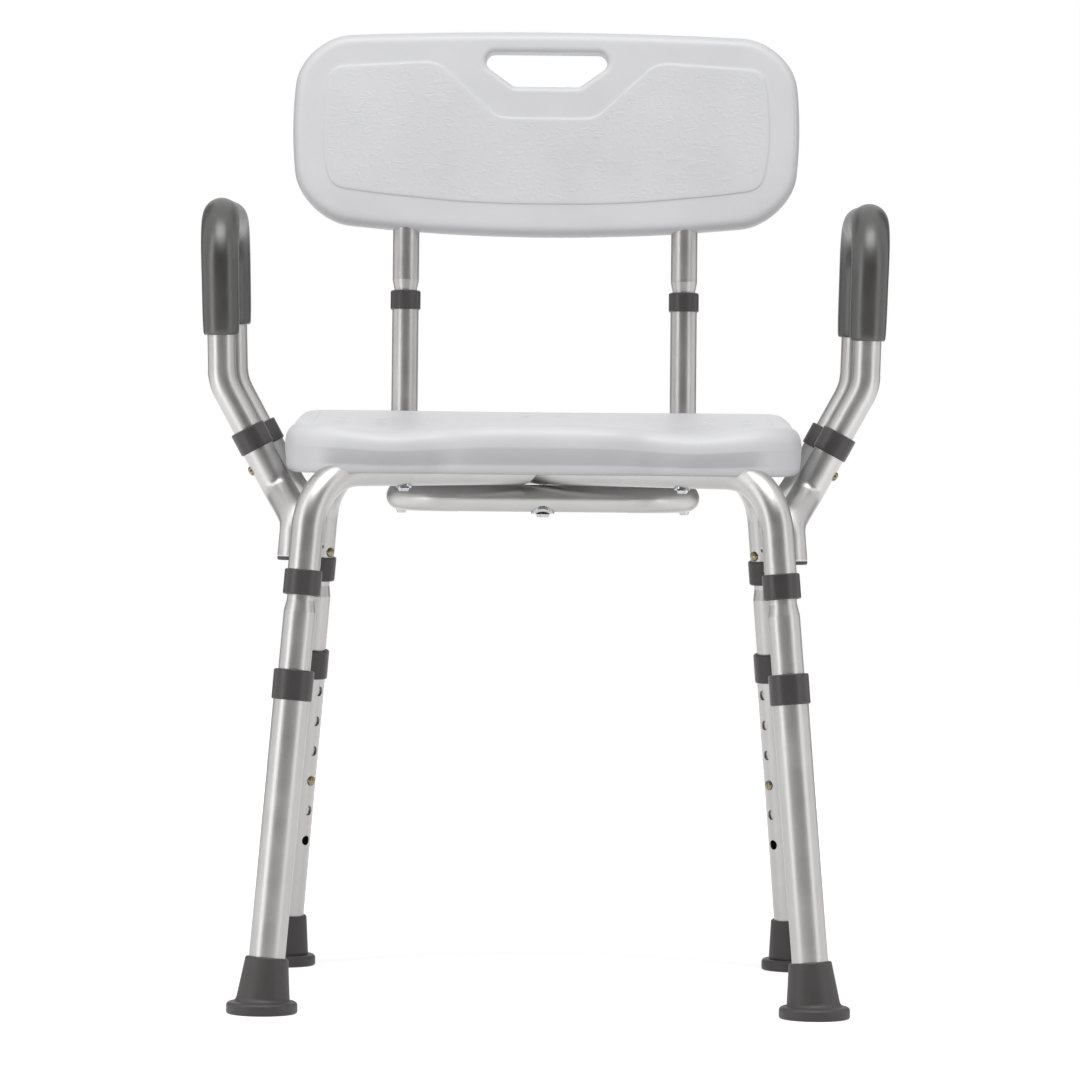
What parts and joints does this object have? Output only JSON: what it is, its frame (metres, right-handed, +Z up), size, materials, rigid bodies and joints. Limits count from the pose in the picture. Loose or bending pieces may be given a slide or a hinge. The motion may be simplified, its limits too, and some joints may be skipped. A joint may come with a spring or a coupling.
{
  "type": "shower chair",
  "caption": "Shower chair: hollow plastic seat and backrest on aluminium tubes, with padded lift-off arms, snap-button height legs and rubber feet.",
  "frame": {"origin": "on the floor, midway between the four feet", "axes": "+X to the chair's right as seen from the front, +Y to the rear, +Z up"},
  "size_m": [0.5494, 0.434, 0.7884],
  "materials": {
    "seat_plastic": "satin blow-moulded polyethylene with a grained panel",
    "tube_aluminium": "satin anodised",
    "collar_plastic": "moulded, satin",
    "foot_rubber": "moulded, matt",
    "grip_foam": "closed-cell foam sleeve with a smooth skin",
    "button_nickel": "nickel plated, smooth",
    "spring_steel": "bare spring steel",
    "zinc": "bright zinc plated",
    "brass": "turned brass"
  },
  "bodies": {
    "frame": {"seat": "seat_plastic", "seat_screws": "zinc", "saddle_washers": "zinc", "seat_inserts": "brass", "frame_tube_upper": "tube_aluminium", "frame_tube_lower": "tube_aluminium", "back_support_tube": "tube_aluminium", "stub_collars": "collar_plastic", "arm_collars": "collar_plastic", "socket_plugs": "collar_plastic", "back_collars": "collar_plastic", "arm_socket_front_left": "tube_aluminium", "arm_socket_front_right": "tube_aluminium", "arm_socket_rear_left": "tube_aluminium", "arm_socket_rear_right": "tube_aluminium"},
    "leg_front_left": {"leg_inner_front_left": "tube_aluminium", "leg_springs_front_left": "spring_steel"},
    "outer_leg_front_left": {"leg_outer_front_left": "tube_aluminium", "leg_collar_front_left": "collar_plastic", "foot_front_left": "foot_rubber"},
    "height_button_front_left": {"height_button_front_left": "button_nickel"},
    "stub_button_front_left": {"stub_button_front_left": "button_nickel"},
    "leg_front_right": {"leg_inner_front_right": "tube_aluminium", "leg_springs_front_right": "spring_steel"},
    "outer_leg_front_right": {"leg_outer_front_right": "tube_aluminium", "leg_collar_front_right": "collar_plastic", "foot_front_right": "foot_rubber"},
    "height_button_front_right": {"height_button_front_right": "button_nickel"},
    "stub_button_front_right": {"stub_button_front_right": "button_nickel"},
    "leg_rear_left": {"leg_inner_rear_left": "tube_aluminium", "leg_springs_rear_left": "spring_steel"},
    "outer_leg_rear_left": {"leg_outer_rear_left": "tube_aluminium", "leg_collar_rear_left": "collar_plastic", "foot_rear_left": "foot_rubber"},
    "height_button_rear_left": {"height_button_rear_left": "button_nickel"},
    "stub_button_rear_left": {"stub_button_rear_left": "button_nickel"},
    "leg_rear_right": {"leg_inner_rear_right": "tube_aluminium", "leg_springs_rear_right": "spring_steel"},
    "outer_leg_rear_right": {"leg_outer_rear_right": "tube_aluminium", "leg_collar_rear_right": "collar_plastic", "foot_rear_right": "foot_rubber"},
    "height_button_rear_right": {"height_button_rear_right": "button_nickel"},
    "stub_button_rear_right": {"stub_button_rear_right": "button_nickel"},
    "arm_left": {"arm_tube_left": "tube_aluminium", "arm_grip_left": "grip_foam", "arm_springs_left": "spring_steel"},
    "arm_button_front_left": {"arm_button_front_left": "button_nickel"},
    "arm_button_rear_left": {"arm_button_rear_left": "button_nickel"},
    "arm_right": {"arm_tube_right": "tube_aluminium", "arm_grip_right": "grip_foam", "arm_springs_right": "spring_steel"},
    "arm_button_front_right": {"arm_button_front_right": "button_nickel"},
    "arm_button_rear_right": {"arm_button_rear_right": "button_nickel"},
    "back": {"backrest": "seat_plastic", "back_screws": "zinc", "back_springs": "spring_steel", "back_post_left": "tube_aluminium", "back_post_right": "tube_aluminium"},
    "back_button_left": {"back_button_left": "button_nickel"},
    "back_button_right": {"back_button_right": "button_nickel"}
  },
  "joints": [
    {"name": "leg_front_left_pulls_out", "type": "slide", "parent": "frame", "child": "leg_front_left", "axis": [-0.0833, -0.0727, -0.9939], "range_m": [0, 0.052], "deforming": ["stub_button_front_left", "leg_springs_front_left"]},
    {"name": "leg_front_left_height", "type": "slide", "parent": "leg_front_left", "child": "outer_leg_front_left", "axis": [-0.0833, -0.0727, -0.9939], "range_m": [-0.0508, 0.0762], "deforming": ["height_button_front_left", "leg_springs_front_left"]},
    {"name": "height_button_front_left_press", "type": "slide", "parent": "leg_front_left", "child": "height_button_front_left", "axis": [-0.7487, -0.6536, 0.1106], "range_m": [0, 0.0043], "stiffness_N_per_m": 900, "springref_m": -0.004},
    {"name": "stub_button_front_left_press", "type": "slide", "parent": "leg_front_left", "child": "stub_button_front_left", "axis": [-0.7487, -0.6536, 0.1106], "range_m": [0, 0.0043], "stiffness_N_per_m": 900, "springref_m": -0.004},
    {"name": "leg_front_right_pulls_out", "type": "slide", "parent": "frame", "child": "leg_front_right", "axis": [0.0833, -0.0727, -0.9939], "range_m": [0, 0.052], "deforming": ["stub_button_front_right", "leg_springs_front_right"]},
    {"name": "leg_front_right_height", "type": "slide", "parent": "leg_front_right", "child": "outer_leg_front_right", "axis": [0.0833, -0.0727, -0.9939], "range_m": [-0.0508, 0.0762], "deforming": ["height_button_front_right", "leg_springs_front_right"]},
    {"name": "height_button_front_right_press", "type": "slide", "parent": "leg_front_right", "child": "height_button_front_right", "axis": [0.7487, -0.6536, 0.1106], "range_m": [0, 0.0043], "stiffness_N_per_m": 900, "springref_m": -0.004},
    {"name": "stub_button_front_right_press", "type": "slide", "parent": "leg_front_right", "child": "stub_button_front_right", "axis": [0.7487, -0.6536, 0.1106], "range_m": [0, 0.0043], "stiffness_N_per_m": 900, "springref_m": -0.004},
    {"name": "leg_rear_left_pulls_out", "type": "slide", "parent": "frame", "child": "leg_rear_left", "axis": [-0.0833, 0.0727, -0.9939], "range_m": [0, 0.052], "deforming": ["stub_button_rear_left", "leg_springs_rear_left"]},
    {"name": "leg_rear_left_height", "type": "slide", "parent": "leg_rear_left", "child": "outer_leg_rear_left", "axis": [-0.0833, 0.0727, -0.9939], "range_m": [-0.0508, 0.0762], "deforming": ["height_button_rear_left", "leg_springs_rear_left"]},
    {"name": "height_button_rear_left_press", "type": "slide", "parent": "leg_rear_left", "child": "height_button_rear_left", "axis": [-0.7487, 0.6536, 0.1106], "range_m": [0, 0.0043], "stiffness_N_per_m": 900, "springref_m": -0.004},
    {"name": "stub_button_rear_left_press", "type": "slide", "parent": "leg_rear_left", "child": "stub_button_rear_left", "axis": [-0.7487, 0.6536, 0.1106], "range_m": [0, 0.0043], "stiffness_N_per_m": 900, "springref_m": -0.004},
    {"name": "leg_rear_right_pulls_out", "type": "slide", "parent": "frame", "child": "leg_rear_right", "axis": [0.0833, 0.0727, -0.9939], "range_m": [0, 0.052], "deforming": ["stub_button_rear_right", "leg_springs_rear_right"]},
    {"name": "leg_rear_right_height", "type": "slide", "parent": "leg_rear_right", "child": "outer_leg_rear_right", "axis": [0.0833, 0.0727, -0.9939], "range_m": [-0.0508, 0.0762], "deforming": ["height_button_rear_right", "leg_springs_rear_right"]},
    {"name": "height_button_rear_right_press", "type": "slide", "parent": "leg_rear_right", "child": "height_button_rear_right", "axis": [0.7487, 0.6536, 0.1106], "range_m": [0, 0.0043], "stiffness_N_per_m": 900, "springref_m": -0.004},
    {"name": "stub_button_rear_right_press", "type": "slide", "parent": "leg_rear_right", "child": "stub_button_rear_right", "axis": [0.7487, 0.6536, 0.1106], "range_m": [0, 0.0043], "stiffness_N_per_m": 900, "springref_m": -0.004},
    {"name": "arm_left_lifts_off", "type": "slide", "parent": "frame", "child": "arm_left", "axis": [-0.4772, 0, 0.8788], "range_m": [0, 0.046], "deforming": ["arm_button_front_left", "arm_button_rear_left", "arm_springs_left"]},
    {"name": "arm_button_front_left_press", "type": "slide", "parent": "arm_left", "child": "arm_button_front_left", "axis": [0.8788, 0, 0.4772], "range_m": [0, 0.0043], "stiffness_N_per_m": 900, "springref_m": -0.004},
    {"name": "arm_button_rear_left_press", "type": "slide", "parent": "arm_left", "child": "arm_button_rear_left", "axis": [0.8788, 0, 0.4772], "range_m": [0, 0.0043], "stiffness_N_per_m": 900, "springref_m": -0.004},
    {"name": "arm_right_lifts_off", "type": "slide", "parent": "frame", "child": "arm_right", "axis": [0.4772, 0, 0.8788], "range_m": [0, 0.046], "deforming": ["arm_button_front_right", "arm_button_rear_right", "arm_springs_right"]},
    {"name": "arm_button_front_right_press", "type": "slide", "parent": "arm_right", "child": "arm_button_front_right", "axis": [-0.8788, 0, 0.4772], "range_m": [0, 0.0043], "stiffness_N_per_m": 900, "springref_m": -0.004},
    {"name": "arm_button_rear_right_press", "type": "slide", "parent": "arm_right", "child": "arm_button_rear_right", "axis": [-0.8788, 0, 0.4772], "range_m": [0, 0.0043], "stiffness_N_per_m": 900, "springref_m": -0.004},
    {"name": "back_lifts_off", "type": "slide", "parent": "frame", "child": "back", "axis": [0, 0.0785, 0.9969], "range_m": [0, 0.064], "deforming": ["back_button_left", "back_button_right", "back_springs"]},
    {"name": "back_button_left_press", "type": "slide", "parent": "back", "child": "back_button_left", "axis": [0, -0.9969, 0.0785], "range_m": [0, 0.0043], "stiffness_N_per_m": 900, "springref_m": -0.004},
    {"name": "back_button_right_press", "type": "slide", "parent": "back", "child": "back_button_right", "axis": [0, -0.9969, 0.0785], "range_m": [0, 0.0043], "stiffness_N_per_m": 900, "springref_m": -0.004}
  ]
}
